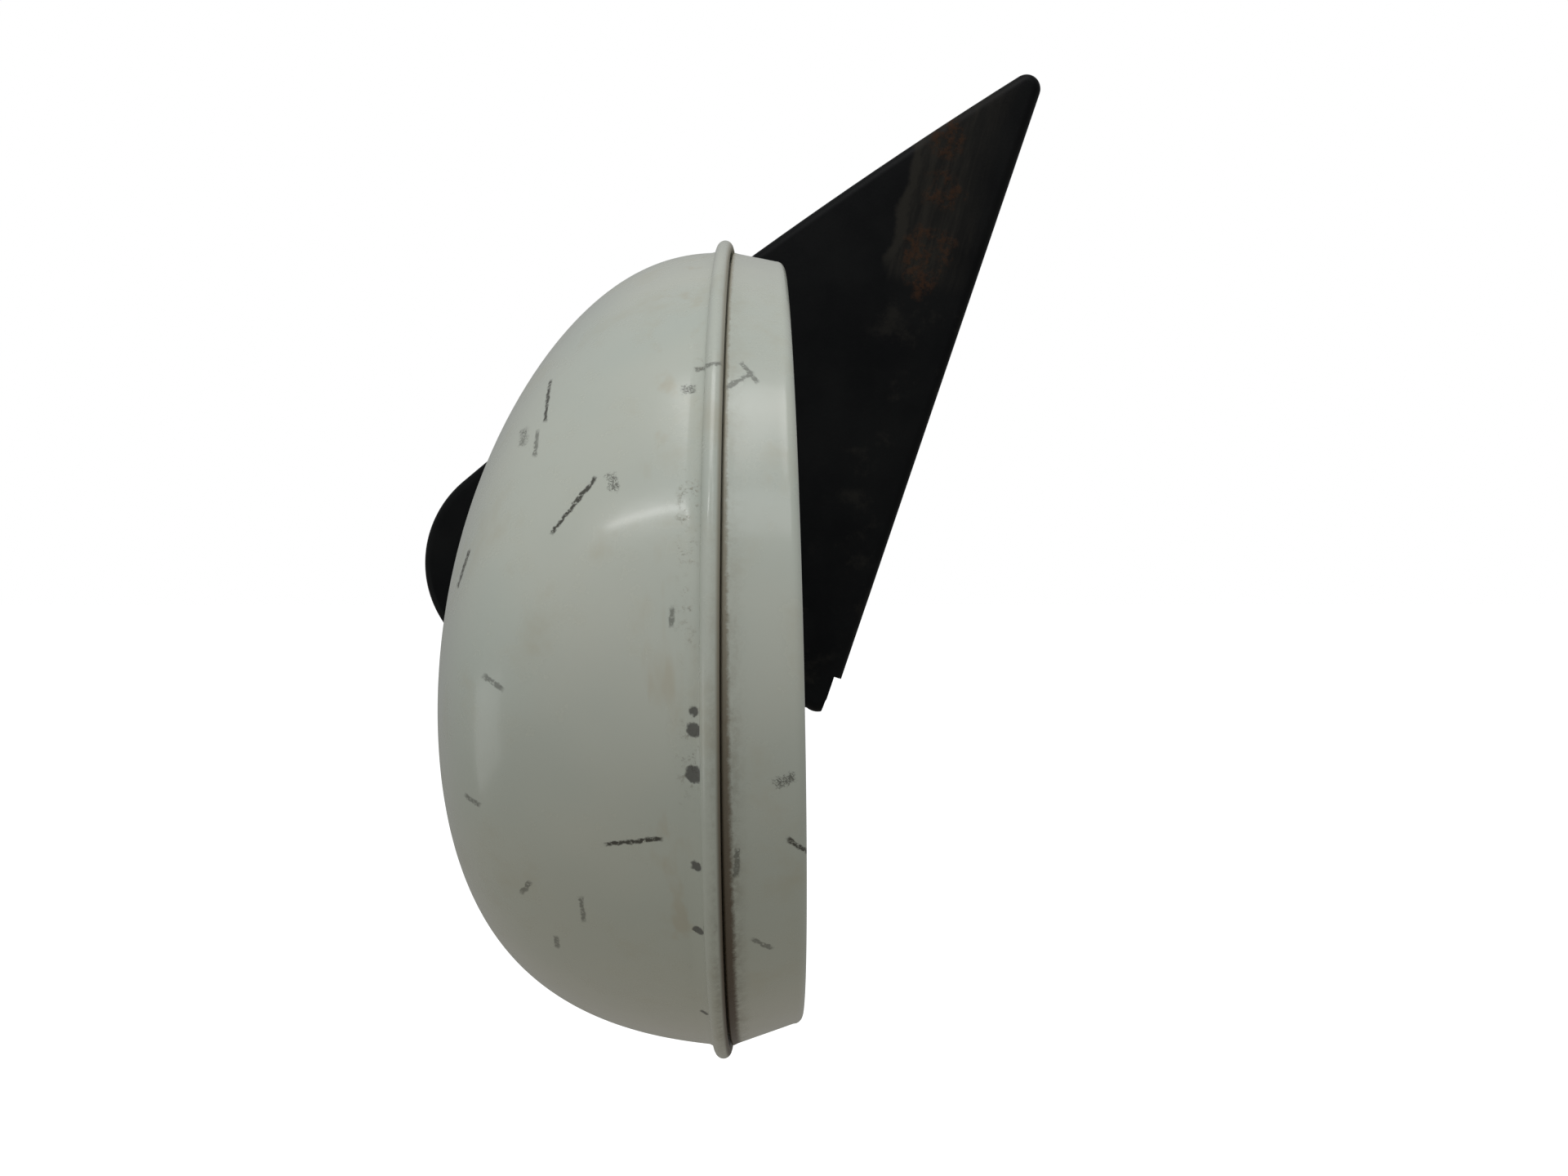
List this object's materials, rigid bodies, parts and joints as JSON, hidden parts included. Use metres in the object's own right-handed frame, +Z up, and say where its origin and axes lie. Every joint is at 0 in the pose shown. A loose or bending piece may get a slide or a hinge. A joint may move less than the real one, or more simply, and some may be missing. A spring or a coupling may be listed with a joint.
{
  "type": "car door mirror",
  "caption": "Left-hand car door mirror: an oval painted steel head on a ball joint, a folding arm and a triangular sail that bolts to the door.",
  "frame": {"origin": "centre of the door studs' circle, on the sail's back face, where the gasket meets the door", "axes": "+X towards the rear of the car, the way the glass faces; +Y inboard, towards the door, along the studs; +Z up"},
  "size_m": [0.1796, 0.256, 0.2324],
  "materials": {
    "white_paint": "gloss, aged and scuffed",
    "black_paint": "matte, dusty with rust showing through",
    "plate_paint": "satin",
    "gasket_rubber": "matte",
    "casting": "satin black, cast",
    "plated_steel": "dull zinc plating",
    "spring_steel": "dark oiled",
    "ball_steel": "ground",
    "bush_bronze": "plain",
    "liner_nylon": "plain",
    "bracket_steel": "galvanised",
    "mirror_glass": "silvered, lightly spotted",
    "seal_rubber": "matte",
    "foam": "open-cell foam"
  },
  "bodies": {
    "door_side": {"sail_cover": "black_paint", "sail_plate": "plate_paint", "sail_gasket": "gasket_rubber", "door_studs": "plated_steel", "foot": "casting", "foot_screws": "plated_steel", "pivot_pin": "plated_steel", "pivot_washers": "plated_steel", "disc_springs": "spring_steel", "pivot_nut": "plated_steel"},
    "arm": {"arm": "casting", "arm_bush": "bush_bronze", "ball_stud": "ball_steel", "lock_screw": "spring_steel"},
    "liner": {"ball_liner": "liner_nylon"},
    "head": {"socket_plate_inner": "bracket_steel", "socket_plate_outer": "bracket_steel", "socket_bracket": "bracket_steel", "bracket_screws": "plated_steel", "clamp_screws": "plated_steel", "clamp_springs": "spring_steel", "clamp_nuts": "plated_steel", "backing_plate": "bracket_steel", "glass_pad": "foam", "mirror_glass": "mirror_glass", "glass_seal": "seal_rubber", "rim_ring": "white_paint", "head_shell": "white_paint"}
  },
  "joints": [
    {"name": "fold", "type": "hinge", "parent": "door_side", "child": "arm", "pos_m": [-0.024, -0.03, -0.045], "axis": [0, 0, 1], "range_deg": [-55, 50]},
    {"name": "ball_yaw", "type": "hinge", "parent": "arm", "child": "liner", "pos_m": [-0.024, -0.072, -0.045], "axis": [0, 0, 1], "range_deg": [-10, 10]},
    {"name": "ball_pitch", "type": "hinge", "parent": "liner", "child": "head", "pos_m": [-0.024, -0.072, -0.045], "axis": [0, 1, 0], "range_deg": [-10, 10]}
  ]
}
